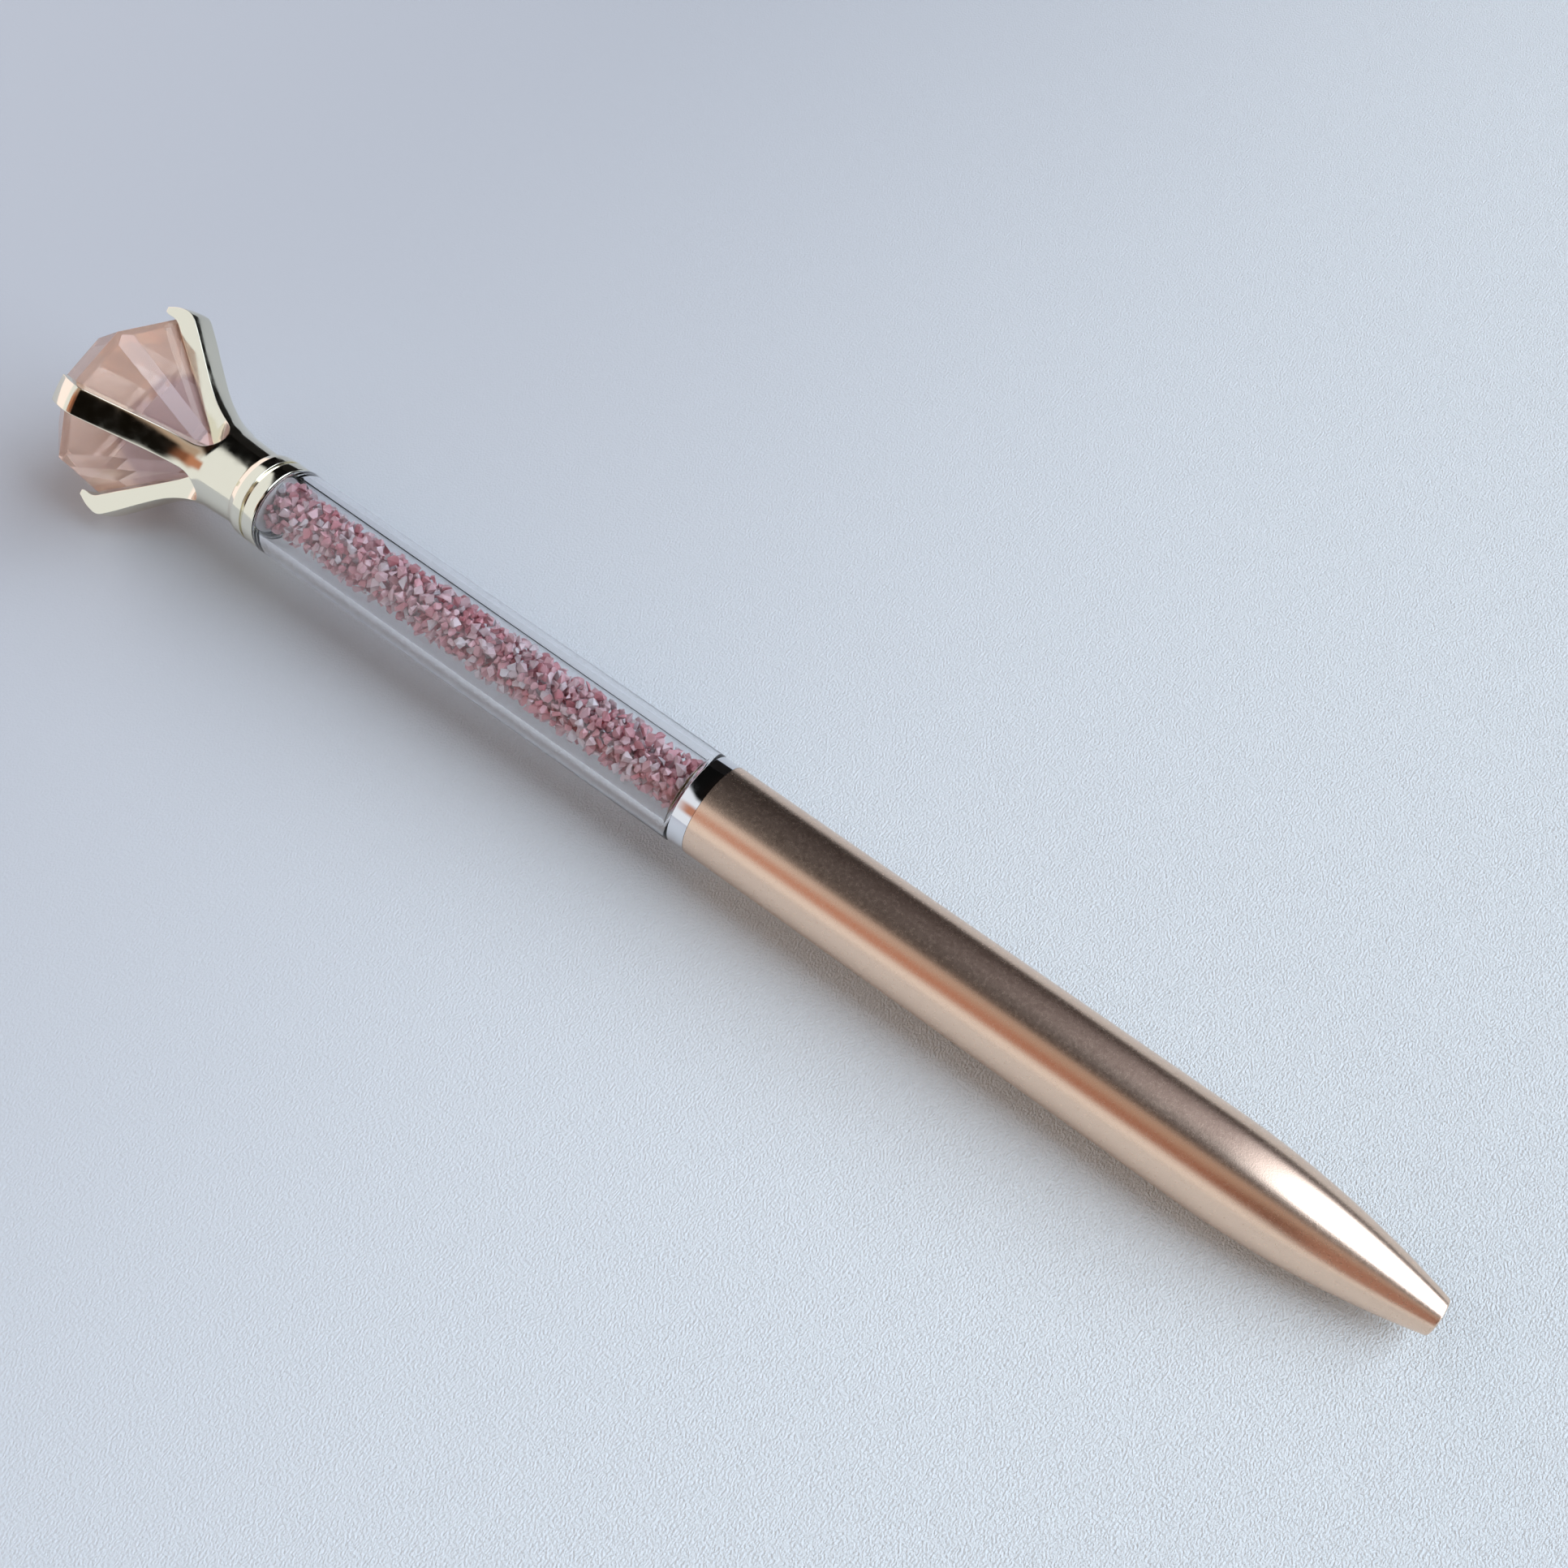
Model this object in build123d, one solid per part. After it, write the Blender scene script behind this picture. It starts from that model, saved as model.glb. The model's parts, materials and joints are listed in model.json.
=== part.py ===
from build123d import *

import math
import os
import random

# Twist-action gel pen. All sizes in millimetres.
# Every piece is first made on the pen's own axis, which is X, with x = 0 at the
# rear edge of the lower barrel and the nose towards +X. At the end all pieces
# are turned and tilted together, so that the pen lies on a table at z = 0.

# Outside of the pen along its axis
STONE_TABLE_X = -71.5
COLLAR_X = -52.15
TUBE_X = -48.97
RING_X = -1.65
NOSE_X = 67.2
BODY_R = 4.25

# Stone
GIRDLE_R = 9.0
GIRDLE_FRONT_X = -67.35
GIRDLE_BACK_X = -68.25
TABLE_R = 6.2
CULET_R = 0.7
CULET_X = -56.8
RIDGE_NEAR = (-67.35, 8.65)
RIDGE_FAR = (-57.5, 1.0)

# Claw
PRONG_COUNT = 4
PRONG_WIDTH = 2.5
NECK_R = 3.7
SOCKET_R = 3.3
SOCKET_END_X = -55.0
FLARE_START = (-55.5, 3.82)
FLARE_POINTS = ((-57.9, 4.25), (-60.1, 5.4), (-62.2, 7.15), (-64.4, 9.15), (-66.1, 10.25))
HOOK_POINTS = ((-66.9, 10.38), (-68.2, 10.1))
HOOK_TIP_POINTS = ((-68.75, 9.65), (-68.6, 9.2))
HOOK_INSIDE_POINTS = ((-68.0, 9.25), (-67.0, 9.15), (-65.4, 7.65))
SEAT_END = (-56.4, 0.7)
NOTCH_X = -56.2
NOTCH_END_R = 1.9

# Collar and tube
COLLAR_R = 4.18
COLLAR_EDGE = 0.15
GROOVE_X = -50.38
GROOVE_WIDTH = 0.35
GROOVE_DEPTH = 0.3
TUBE_EDGE = 0.35
BORE_R = 2.75
BORE_END_X = -2.3
SPIGOT_R = 2.9
SPIGOT_END_X = 3.6
STOPPER_FRONT_X = -49.4

# Crystal chips
CHIP_R = 0.88
CHIP_RING_R = 1.83
CHIP_RING_COUNT = 6
CHIP_PITCH = 1.82

# Centre ring, coupler and friction ring
RING_R = 4.2
COUPLER_R = 3.3
COUPLER_END_X = 5.6
STEM_R = 2.45
STEM_END_X = 11.0
FRICTION_X = 4.7
FRICTION_WIRE_R = 0.36
FRICTION_CENTRE_R = 3.26

# Lower barrel
BARREL_X = 0.12
BARREL_R = 4.2
BARREL_WALL = 0.5
TAPER_X = 47.5
NOSE_R = 1.6
NOSE_BORE_R = 1.15
NOSE_STEP_X = 62.0
NOSE_EDGE = 0.2
REAR_EDGE = 0.06
NOSE_ARC_R = ((NOSE_X - TAPER_X) ** 2 + (BARREL_R - NOSE_R) ** 2) / (2 * (BARREL_R - NOSE_R))

# Twist mechanism
THREAD_PITCH = 0.5
THREAD_DEPTH = 0.15
INSERT_X = 7.05
INSERT_END_X = 14.0
INSERT_BORE_R = 3.3
HOUSING_X = 5.8
HOUSING_END_X = 26.0
HOUSING_FLANGE_R = 3.62
HOUSING_FLANGE_END_X = 7.0
HOUSING_R = 3.22
HOUSING_BORE_R = 2.9
SNAP_RING_X = 6.4
SNAP_WIRE_R = 0.18
SNAP_CENTRE_R = 2.88
CAM_END_X = 22.5
CAM_R = 2.85
GUIDE_X = 11.4
GUIDE_R = 2.4
GUIDE_BORE_R = 2.05
GUIDE_FLANGE_X = 23.0
SLOT_WIDTH = 1.15
PIN_R = 0.45
PIN_REACH = 2.75
PIN_X = 12.7
TRAVEL = 5.0
TWIST_DEG = 180.0
CARRIER_X = 11.6
CARRIER_END_X = 20.0
CARRIER_R = 2.0

# Refill
REFILL_X = 14.0
REFILL_R = 1.5
REFILL_BORE_R = 1.05
REFILL_PLUG_END_X = 16.0
AIR_HOLE_R = 0.3
FOLLOWER_X = 20.5
FOLLOWER_END_X = 23.5
REFILL_TUBE_END_X = 46.0
HOLDER_STUB_X = 42.5
HOLDER_SHOULDER_X = 48.5
HOLDER_NECK_R = 1.05
HOLDER_END_X = 60.0
INK_DUCT_R = 0.45
CONE_STUB_X = 57.5
CONE_STUB_R = 0.7
CONE_DUCT_R = 0.3
TIP_X = 64.8
TIP_R = 0.34
BALL_R = 0.25
BALL_PROUD = 0.14
BALL_CLEARANCE = 0.015

# Return spring
SPRING_TURNS = 9
SPRING_WIRE_R = 0.15
SPRING_CENTRE_R = 1.4

# Lying on a table, the pen rests on a corner of the stone's girdle and the barrel's
# taper. ROLL_DEG turns the prongs about the axis, and the stone's lowest corner is
# then REST_R below the axis.
ROLL_DEG = 39.0
REST_R = 8.95


def ring_profile(*points):
    """Turns a closed outline of (x, r) points round the pen's axis."""
    outline = make_face(Polyline(*points, close=True))
    return revolve(outline, Axis.X, 360)


def tube_between(x0, x1, outer_r, inner_r=0.0):
    """A plain sleeve, or a rod where the inner radius is 0."""
    return ring_profile((x0, inner_r), (x1, inner_r), (x1, outer_r), (x0, outer_r))


def turned(shape, degrees):
    """The shape turned about the pen's axis."""
    return Rotation(degrees, 0, 0) * shape


def facets(stone, count, phase, near, far):
    """Grinds one family of facets: each plane passes through two (x, r) points."""
    (x0, r0), (x1, r1) = near, far
    out = Vector(r0 - r1, x1 - x0, 0).normalized()
    if out.Y < 0:
        out = out * -1
    for index in range(count):
        angle = phase + index * 360 / count
        origin = Vector(x0, r0, 0).rotate(Axis.X, angle)
        normal = out.rotate(Axis.X, angle)
        stone = split(stone, Plane(origin=origin, z_dir=normal), keep=Keep.BOTTOM)
    return stone


def make_stone():
    """Octagonal cut: table, 8 crown facets, 8 pavilion facets and 8 slim ones along their ridges."""
    mid_side = 22.5
    girdle_side_r = GIRDLE_R * math.cos(math.radians(mid_side))
    table_side_r = TABLE_R * math.cos(math.radians(mid_side))
    stone = Plane.YZ * RegularPolygon(GIRDLE_R, 8)
    stone = extrude(stone, CULET_X - STONE_TABLE_X).moved(Location((STONE_TABLE_X, 0, 0)))
    stone = facets(stone, 8, mid_side, (GIRDLE_BACK_X, girdle_side_r), (STONE_TABLE_X, table_side_r))
    stone = facets(stone, 8, mid_side, (GIRDLE_FRONT_X, girdle_side_r), (CULET_X, CULET_R))
    return facets(stone, 8, 0, RIDGE_NEAR, RIDGE_FAR)


def make_crown_claw():
    """A flared cup, cut by four round-bottomed notches into four hooked prongs."""
    with BuildLine() as outer:
        neck = Line((COLLAR_X, NECK_R), FLARE_START)
        flare = Spline(neck @ 1, *FLARE_POINTS, tangents=((-1, 0.03), (-1, 0.35)))
        hook = Spline(flare @ 1, *HOOK_POINTS, tangents=((-1, 0.35), (-1, -0.45)))
        tip = ThreePointArc(hook @ 1, *HOOK_TIP_POINTS)
        inside = Spline(tip @ 1, *HOOK_INSIDE_POINTS, tangents=((1, 0.25), (1, -0.78)))
        Polyline(inside @ 1, SEAT_END, (SEAT_END[0], 0), (COLLAR_X, 0), neck @ 0)
    claw = revolve(make_face(outer.line), Axis.X, 360)
    for index in range(PRONG_COUNT):
        claw -= turned(notch(), 360 / PRONG_COUNT * (index + 0.5))
    return claw - tube_between(SOCKET_END_X, COLLAR_X + 1, SOCKET_R)


def notch():
    """Wedge along +Y with a round end: the room between two prongs of equal width."""
    reach = 14.0
    corner_y = PRONG_WIDTH / math.sqrt(2)
    round_x = NOTCH_X - NOTCH_END_R
    depth = round_x - STONE_TABLE_X + 1
    wedge = Polyline((corner_y, 0), (reach, reach - corner_y), (reach, corner_y - reach), close=True)
    sector = extrude(Plane.YZ.offset(round_x - depth) * make_face(wedge), depth)
    round_end = Rotation(90, 0, 0) * Cylinder(NOTCH_END_R, reach)
    return sector + round_end.moved(Location((round_x, reach / 2 + NOTCH_END_R, 0)))


def make_collar_ring():
    """Collar that the tube's upper spigot passes through."""
    shoulder_end = (COLLAR_X + 0.5, 4.1)
    groove_r = COLLAR_R - GROOVE_DEPTH
    groove_start = GROOVE_X - GROOVE_WIDTH / 2
    groove_end = GROOVE_X + GROOVE_WIDTH / 2
    with BuildLine() as outline:
        shoulder = ThreePointArc((COLLAR_X, 3.78), (COLLAR_X + 0.15, 4.0), shoulder_end)
        Polyline(
            shoulder @ 1, (groove_start, COLLAR_R), (groove_start, groove_r), (groove_end, groove_r),
            (groove_end, COLLAR_R), (TUBE_X - COLLAR_EDGE, COLLAR_R), (TUBE_X, COLLAR_R - COLLAR_EDGE),
            (TUBE_X, SOCKET_R), (COLLAR_X, SOCKET_R), shoulder @ 0,
        )
    return revolve(make_face(outline.line), Axis.X, 360)


def make_crystal_tube():
    """Thick clear tube: a spigot at each end, and a bore that is open at the rear."""
    body = tube_between(TUBE_X, RING_X, BODY_R)
    body = fillet(body.edges().filter_by(GeomType.CIRCLE), TUBE_EDGE)
    body += tube_between(SOCKET_END_X, TUBE_X, SOCKET_R)
    body += tube_between(RING_X, SPIGOT_END_X, SPIGOT_R)
    return body - tube_between(SOCKET_END_X - 1, BORE_END_X, BORE_R)


def make_tube_stopper():
    return tube_between(SOCKET_END_X, STOPPER_FRONT_X, BORE_R)


def crystal_chip(rng):
    """One irregular cut chip that fits in a ball of CHIP_R."""
    chip = Box(CHIP_R * 1.1, CHIP_R * 1.15, CHIP_R * 1.2)
    for _ in range(5):
        out = Vector(rng.gauss(0, 1), rng.gauss(0, 1), rng.gauss(0, 1)).normalized()
        cut = Plane(origin=out * (CHIP_R * rng.uniform(0.55, 0.75)), z_dir=out)
        chip = split(chip, cut, keep=Keep.BOTTOM)
    return chip


def make_crystal_fill():
    """Layers of chips: one on the axis and a ring round it, each turned at random."""
    rng = random.Random(7)
    patterns = [crystal_chip(rng) for _ in range(6)]
    layers = int((BORE_END_X - STOPPER_FRONT_X) / CHIP_PITCH)
    start = STOPPER_FRONT_X + (BORE_END_X - STOPPER_FRONT_X - (layers - 1) * CHIP_PITCH) / 2
    chips = []
    for layer in range(layers):
        x = start + layer * CHIP_PITCH
        for place in range(CHIP_RING_COUNT + 1):
            angle = math.radians(360 / CHIP_RING_COUNT * (place + 0.5 * (layer % 2)))
            radius = CHIP_RING_R if place < CHIP_RING_COUNT else 0
            spin = [rng.uniform(0, 360) for _ in range(3)]
            centre = (x, radius * math.cos(angle), radius * math.sin(angle))
            chips.append(Location(centre, spin) * rng.choice(patterns))
    return Compound(chips)


def make_centre_ring():
    ring = tube_between(RING_X, 0, RING_R, COUPLER_R)
    outer_edges = ring.edges().filter_by(GeomType.CIRCLE).sort_by(SortBy.RADIUS)[-2:]
    return chamfer(outer_edges, 0.12)


def make_coupler():
    """Cup round the tube's lower spigot, and a stem that drives the cam."""
    coupler = tube_between(RING_X, COUPLER_END_X, COUPLER_R)
    coupler += tube_between(COUPLER_END_X, STEM_END_X, STEM_R)
    coupler -= tube_between(RING_X - 1, SPIGOT_END_X, SPIGOT_R)
    groove_half = FRICTION_WIRE_R
    groove_r = FRICTION_CENTRE_R - FRICTION_WIRE_R
    return coupler - tube_between(FRICTION_X - groove_half, FRICTION_X + groove_half, 5, groove_r)


def wire_ring(x, centre_r, wire_r, gap_deg=0.0):
    """A ring of round wire, split by a gap where one is given."""
    section = Plane.XY * Pos(x, centre_r) * Circle(wire_r)
    return turned(revolve(section, Axis.X, 360 - gap_deg), gap_deg / 2)


def make_friction_ring():
    return wire_ring(FRICTION_X, FRICTION_CENTRE_R, FRICTION_WIRE_R)


def thread_points(x0, x1, crest_r, root_r):
    """Zigzag of (x, r) points for a thread drawn as rings of one pitch."""
    count = int(abs(x1 - x0) / THREAD_PITCH)
    step = (x1 - x0) / count
    points = []
    for index in range(count):
        points.append((x0 + (index + 0.1) * step, crest_r))
        points.append((x0 + (index + 0.5) * step, root_r))
        points.append((x0 + (index + 0.9) * step, crest_r))
    return points


def make_threaded_insert():
    bore = thread_points(INSERT_X + 0.3, INSERT_END_X - 0.3, INSERT_BORE_R, INSERT_BORE_R + THREAD_DEPTH)
    outer_r = BARREL_R - BARREL_WALL
    return ring_profile(
        (INSERT_X, INSERT_BORE_R), *bore, (INSERT_END_X, INSERT_BORE_R),
        (INSERT_END_X, outer_r), (INSERT_X, outer_r),
    )


def make_mechanism_housing():
    thread_end_x = INSERT_END_X - 0.2
    thread = thread_points(HOUSING_FLANGE_END_X + 0.4, thread_end_x, HOUSING_R, HOUSING_R - THREAD_DEPTH)
    housing = ring_profile(
        (HOUSING_X, HOUSING_BORE_R), (HOUSING_X, HOUSING_FLANGE_R),
        (HOUSING_FLANGE_END_X, HOUSING_FLANGE_R), (HOUSING_FLANGE_END_X, HOUSING_R),
        *thread, (HOUSING_END_X, HOUSING_R), (HOUSING_END_X, HOUSING_BORE_R),
    )
    groove_half = SNAP_WIRE_R + 0.03
    return housing - tube_between(SNAP_RING_X - groove_half, SNAP_RING_X + groove_half, SNAP_CENTRE_R + 0.22)


def make_snap_ring():
    return wire_ring(SNAP_RING_X, SNAP_CENTRE_R, SNAP_WIRE_R, gap_deg=50)


def helical_slot(start_deg):
    """Cutter for a slot that climbs one travel in one twist, with round ends."""
    centre_r = (CAM_R + GUIDE_R) / 2
    pitch = TRAVEL * 360 / TWIST_DEG
    path = Helix(pitch, TRAVEL, centre_r)
    tangent = path % 0
    section_plane = Plane(origin=path @ 0, x_dir=(1, 0, 0), z_dir=tangent)
    section = section_plane * Rectangle(1.4, SLOT_WIDTH)
    cutter = sweep(section, path=path, is_frenet=True)
    end = Rotation(0, 90, 0) * Cylinder(SLOT_WIDTH / 2, 1.4)
    cutter += end.moved(Location((centre_r, 0, 0)))
    cutter += Rotation(0, 0, TWIST_DEG) * end.moved(Location((centre_r, 0, TRAVEL)))
    cutter = Rotation(0, 90, 0) * cutter
    return turned(cutter, start_deg).moved(Location((PIN_X, 0, 0)))


def make_twist_cam():
    cam = tube_between(COUPLER_END_X, CAM_END_X, CAM_R, STEM_R)
    groove_half = SNAP_WIRE_R + 0.03
    cam -= tube_between(
        SNAP_RING_X - groove_half, SNAP_RING_X + groove_half, 4, SNAP_CENTRE_R - SNAP_WIRE_R - 0.02
    )
    for start_deg in (0, 180):
        cam -= helical_slot(start_deg)
    return cam


def make_thrust_washer():
    return tube_between(CAM_END_X, GUIDE_FLANGE_X, CAM_R, STEM_R)


def make_guide_sleeve():
    sleeve = tube_between(GUIDE_X, HOUSING_END_X, GUIDE_R)
    sleeve += tube_between(GUIDE_FLANGE_X, HOUSING_END_X, HOUSING_BORE_R)
    sleeve -= tube_between(GUIDE_X - 1, HOUSING_END_X + 1, GUIDE_BORE_R)
    slot_end = SLOT_WIDTH / 2
    slot = Pos((PIN_X + PIN_X + TRAVEL) / 2, 0, 0) * Box(TRAVEL, 8, SLOT_WIDTH)
    for x in (PIN_X, PIN_X + TRAVEL):
        slot += Pos(x, 0, 0) * (Rotation(90, 0, 0) * Cylinder(slot_end, 8))
    return sleeve - pin_direction(slot)


def pin_direction(shape):
    """Turns a shape made along Y to the direction that the helical slots start at."""
    return turned(shape, 90)


def make_refill_carrier():
    carrier = tube_between(CARRIER_X, CARRIER_END_X, CARRIER_R)
    carrier -= tube_between(REFILL_X, CARRIER_END_X + 1, REFILL_R)
    hole = Pos(PIN_X, 0, 0) * (Rotation(90, 0, 0) * Cylinder(PIN_R, 8))
    return carrier - pin_direction(hole)


def make_cross_pin():
    pin = Rotation(90, 0, 0) * Cylinder(PIN_R, 2 * PIN_REACH)
    return pin_direction(Pos(PIN_X, 0, 0) * pin)


def make_refill_plug():
    return tube_between(REFILL_X, REFILL_PLUG_END_X, REFILL_BORE_R, AIR_HOLE_R)


def make_refill_tube():
    return tube_between(REFILL_X, REFILL_TUBE_END_X, REFILL_R, REFILL_BORE_R)


def make_ink_follower():
    return tube_between(FOLLOWER_X, FOLLOWER_END_X, REFILL_BORE_R)


def make_gel_ink():
    return tube_between(FOLLOWER_END_X, HOLDER_STUB_X, REFILL_BORE_R)


def make_tip_holder():
    """Stub in the ink tube, collar, and a long neck that the spring slides over."""
    holder = ring_profile(
        (HOLDER_STUB_X, INK_DUCT_R), (HOLDER_STUB_X, REFILL_BORE_R),
        (REFILL_TUBE_END_X, REFILL_BORE_R), (REFILL_TUBE_END_X, REFILL_R),
        (HOLDER_SHOULDER_X, REFILL_R), (HOLDER_SHOULDER_X, HOLDER_NECK_R),
        (HOLDER_END_X, HOLDER_NECK_R), (HOLDER_END_X, INK_DUCT_R),
    )
    return holder - tube_between(CONE_STUB_X, HOLDER_END_X + 1, CONE_STUB_R)


def make_tip_cone():
    ball_x = TIP_X + BALL_PROUD - BALL_R
    step_x = HOLDER_END_X + 1.6
    step_r = 0.6
    cone = ring_profile(
        (CONE_STUB_X, 0), (CONE_STUB_X, CONE_STUB_R), (HOLDER_END_X, CONE_STUB_R),
        (HOLDER_END_X, HOLDER_NECK_R), (step_x, step_r), (TIP_X - 1.4, step_r),
        (TIP_X, TIP_R), (TIP_X, 0),
    )
    socket = Pos(ball_x, 0, 0) * Sphere(BALL_R + BALL_CLEARANCE)
    duct = tube_between(CONE_STUB_X - 1, ball_x - BALL_R * 0.6, 0.12)
    rear_duct = tube_between(CONE_STUB_X - 1, step_x, CONE_DUCT_R)
    return cone - socket - duct - rear_duct


def make_writing_ball():
    return Pos(TIP_X + BALL_PROUD - BALL_R, 0, 0) * Sphere(BALL_R)


def make_return_spring():
    """Open coil between the refill's shoulder and the step inside the nose."""
    end_room = SPRING_WIRE_R + 0.02
    height = NOSE_STEP_X - HOLDER_SHOULDER_X - 2 * end_room
    coil = Helix(height / SPRING_TURNS, height, SPRING_CENTRE_R)
    section = Plane(origin=coil @ 0, x_dir=(1, 0, 0), z_dir=coil % 0) * Circle(SPRING_WIRE_R)
    wire = Rotation(0, 90, 0) * sweep(section, path=coil, is_frenet=True)
    return wire.moved(Location((HOLDER_SHOULDER_X + end_room, 0, 0)))


def make_lower_barrel():
    """Straight barrel that curves in to the nose, with a step for the spring."""
    bore_r = BARREL_R - BARREL_WALL
    with BuildLine() as outline:
        Line((BARREL_X, bore_r), (BARREL_X, BARREL_R))
        side = Line((BARREL_X, BARREL_R), (TAPER_X, BARREL_R))
        ogive = TangentArc(side @ 1, (NOSE_X, NOSE_R), tangent=(1, 0))
        Line(ogive @ 1, (NOSE_X, NOSE_BORE_R))
        Line((NOSE_X, NOSE_BORE_R), (NOSE_STEP_X, NOSE_BORE_R))
        inner_r = nose_radius(NOSE_STEP_X) - BARREL_WALL * 1.4
        Line((NOSE_STEP_X, NOSE_BORE_R), (NOSE_STEP_X, inner_r))
        hollow = TangentArc((TAPER_X - 2, bore_r), (NOSE_STEP_X, inner_r), tangent=(1, 0))
        Line(hollow @ 0, (BARREL_X, bore_r))
    barrel = revolve(make_face(outline.line), Axis.X, 360)
    nose_edge = barrel.edges().filter_by(GeomType.CIRCLE).sort_by(Axis.X)[-2:].sort_by(SortBy.RADIUS)[-1]
    barrel = fillet(nose_edge, NOSE_EDGE)
    rear_edge = barrel.edges().filter_by(GeomType.CIRCLE).sort_by(Axis.X)[:2].sort_by(SortBy.RADIUS)[-1]
    return fillet(rear_edge, REAR_EDGE)


def nose_radius(x):
    """Outer radius of the nose's arc at one place along the pen."""
    return BARREL_R - NOSE_ARC_R + math.sqrt(NOSE_ARC_R ** 2 - (x - TAPER_X) ** 2)


MAKERS = {
    "stone": make_stone,
    "crown_claw": make_crown_claw,
    "collar_ring": make_collar_ring,
    "crystal_tube": make_crystal_tube,
    "tube_stopper": make_tube_stopper,
    "crystal_fill": make_crystal_fill,
    "centre_ring": make_centre_ring,
    "coupler": make_coupler,
    "friction_ring": make_friction_ring,
    "threaded_insert": make_threaded_insert,
    "mechanism_housing": make_mechanism_housing,
    "snap_ring": make_snap_ring,
    "twist_cam": make_twist_cam,
    "thrust_washer": make_thrust_washer,
    "guide_sleeve": make_guide_sleeve,
    "refill_carrier": make_refill_carrier,
    "cross_pin": make_cross_pin,
    "refill_plug": make_refill_plug,
    "refill_tube": make_refill_tube,
    "ink_follower": make_ink_follower,
    "gel_ink": make_gel_ink,
    "tip_holder": make_tip_holder,
    "tip_cone": make_tip_cone,
    "writing_ball": make_writing_ball,
    "return_spring": make_return_spring,
    "lower_barrel": make_lower_barrel,
}


def lying_pose():
    """Turn and tilt that lay the pen down, before it is moved to the origin.

    The table is the line through the head's lowest point that touches the nose's arc.
    """
    arc_x = TAPER_X - GIRDLE_FRONT_X
    arc_z = NOSE_ARC_R - BARREL_R + REST_R
    tilt = math.atan2(arc_z, arc_x) - math.asin(NOSE_ARC_R / math.hypot(arc_x, arc_z))
    return Rotation(0, math.degrees(tilt), 0) * Rotation(ROLL_DEG, 0, 0)


def footprint_shift(lying):
    """Moves the lying pen so that it stands on z = 0 with its middle over the origin."""
    box = Compound([lying[name] for name in ("stone", "crown_claw", "lower_barrel")]).bounding_box()
    return Location((-box.center().X, -box.center().Y, -box.min.Z))


def main():
    os.makedirs("parts", exist_ok=True)
    lying = {name: lying_pose() * make() for name, make in MAKERS.items()}
    shift = footprint_shift(lying)
    for name, piece in lying.items():
        export_step(piece.moved(shift), f"parts/{name}.step")
    for name in ("stone", "crown_claw", "lower_barrel"):
        lowest = lying[name].moved(shift).bounding_box().min.Z
        print(name, "lowest point", round(lowest, 3))


if __name__ == "__main__":
    main()
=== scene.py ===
import json
import math
import random

import bmesh
import bpy
from mathutils import Matrix, Quaternion, Vector


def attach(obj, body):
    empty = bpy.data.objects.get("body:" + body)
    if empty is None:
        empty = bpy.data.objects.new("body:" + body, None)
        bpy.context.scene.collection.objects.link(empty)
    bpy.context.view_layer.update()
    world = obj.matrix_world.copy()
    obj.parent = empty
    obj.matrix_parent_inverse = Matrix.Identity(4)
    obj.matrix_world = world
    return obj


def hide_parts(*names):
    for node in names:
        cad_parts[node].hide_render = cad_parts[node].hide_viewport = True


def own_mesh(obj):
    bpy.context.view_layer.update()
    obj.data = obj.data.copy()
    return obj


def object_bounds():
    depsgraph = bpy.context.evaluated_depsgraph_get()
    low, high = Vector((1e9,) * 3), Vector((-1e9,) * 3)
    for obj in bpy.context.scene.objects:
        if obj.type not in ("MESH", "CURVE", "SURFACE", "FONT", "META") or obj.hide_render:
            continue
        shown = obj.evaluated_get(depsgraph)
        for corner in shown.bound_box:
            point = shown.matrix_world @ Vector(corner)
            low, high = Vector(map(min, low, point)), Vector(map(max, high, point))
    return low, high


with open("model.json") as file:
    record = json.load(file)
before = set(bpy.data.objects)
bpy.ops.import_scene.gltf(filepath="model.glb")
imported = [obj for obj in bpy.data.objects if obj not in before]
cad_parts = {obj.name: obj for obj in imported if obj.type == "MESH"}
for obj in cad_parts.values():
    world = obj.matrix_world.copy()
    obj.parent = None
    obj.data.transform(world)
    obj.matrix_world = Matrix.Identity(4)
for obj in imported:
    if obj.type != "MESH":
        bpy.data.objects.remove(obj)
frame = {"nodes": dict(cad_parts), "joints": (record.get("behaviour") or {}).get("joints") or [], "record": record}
cad_low, cad_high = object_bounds()

MM = 0.001


def joint_named(name):
    """One of the frame's joints."""
    return next(joint for joint in frame["joints"] if joint["name"] == name)


# Every new piece is built on the pen's own axis in millimetres: x runs from the rear
# edge of the barrel (0) to the nose, and PEN lays it down in the frame, in metres.
TWIST = joint_named("head_twist")
NOSEWARD = -Vector(TWIST["axis"]).normalized()
ACROSS = Vector((0, 1, 0))
PEN = (
    Matrix.Translation(TWIST["pos_m"])
    @ Matrix((NOSEWARD, ACROSS, NOSEWARD.cross(ACROSS))).transposed().to_4x4()
    @ Matrix.Scale(MM, 4)
)
PEN_INVERSE = PEN.inverted()


def reach(node):
    """Where a CAD node starts and ends along the pen, and its largest radius."""
    points = [PEN_INVERSE @ vertex.co for vertex in frame["nodes"][node].data.vertices]
    along = [point.x for point in points]
    return min(along), max(along), max(math.hypot(point.y, point.z) for point in points)


COLLAR_X, TUBE_X, COLLAR_R = reach("collar_ring")
RING_X, RING_END_X, RING_R = reach("centre_ring")
NOSE_X, BARREL_R = reach("lower_barrel")[1:]
SPIGOT_X, SPIGOT_END_X, TUBE_R = reach("crystal_tube")
STOPPER_FRONT_X, STOPPER_R = reach("tube_stopper")[1:]
COUPLER_R = reach("coupler")[2]
SPRING_X, SPRING_END_X, SPRING_R = reach("return_spring")

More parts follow.
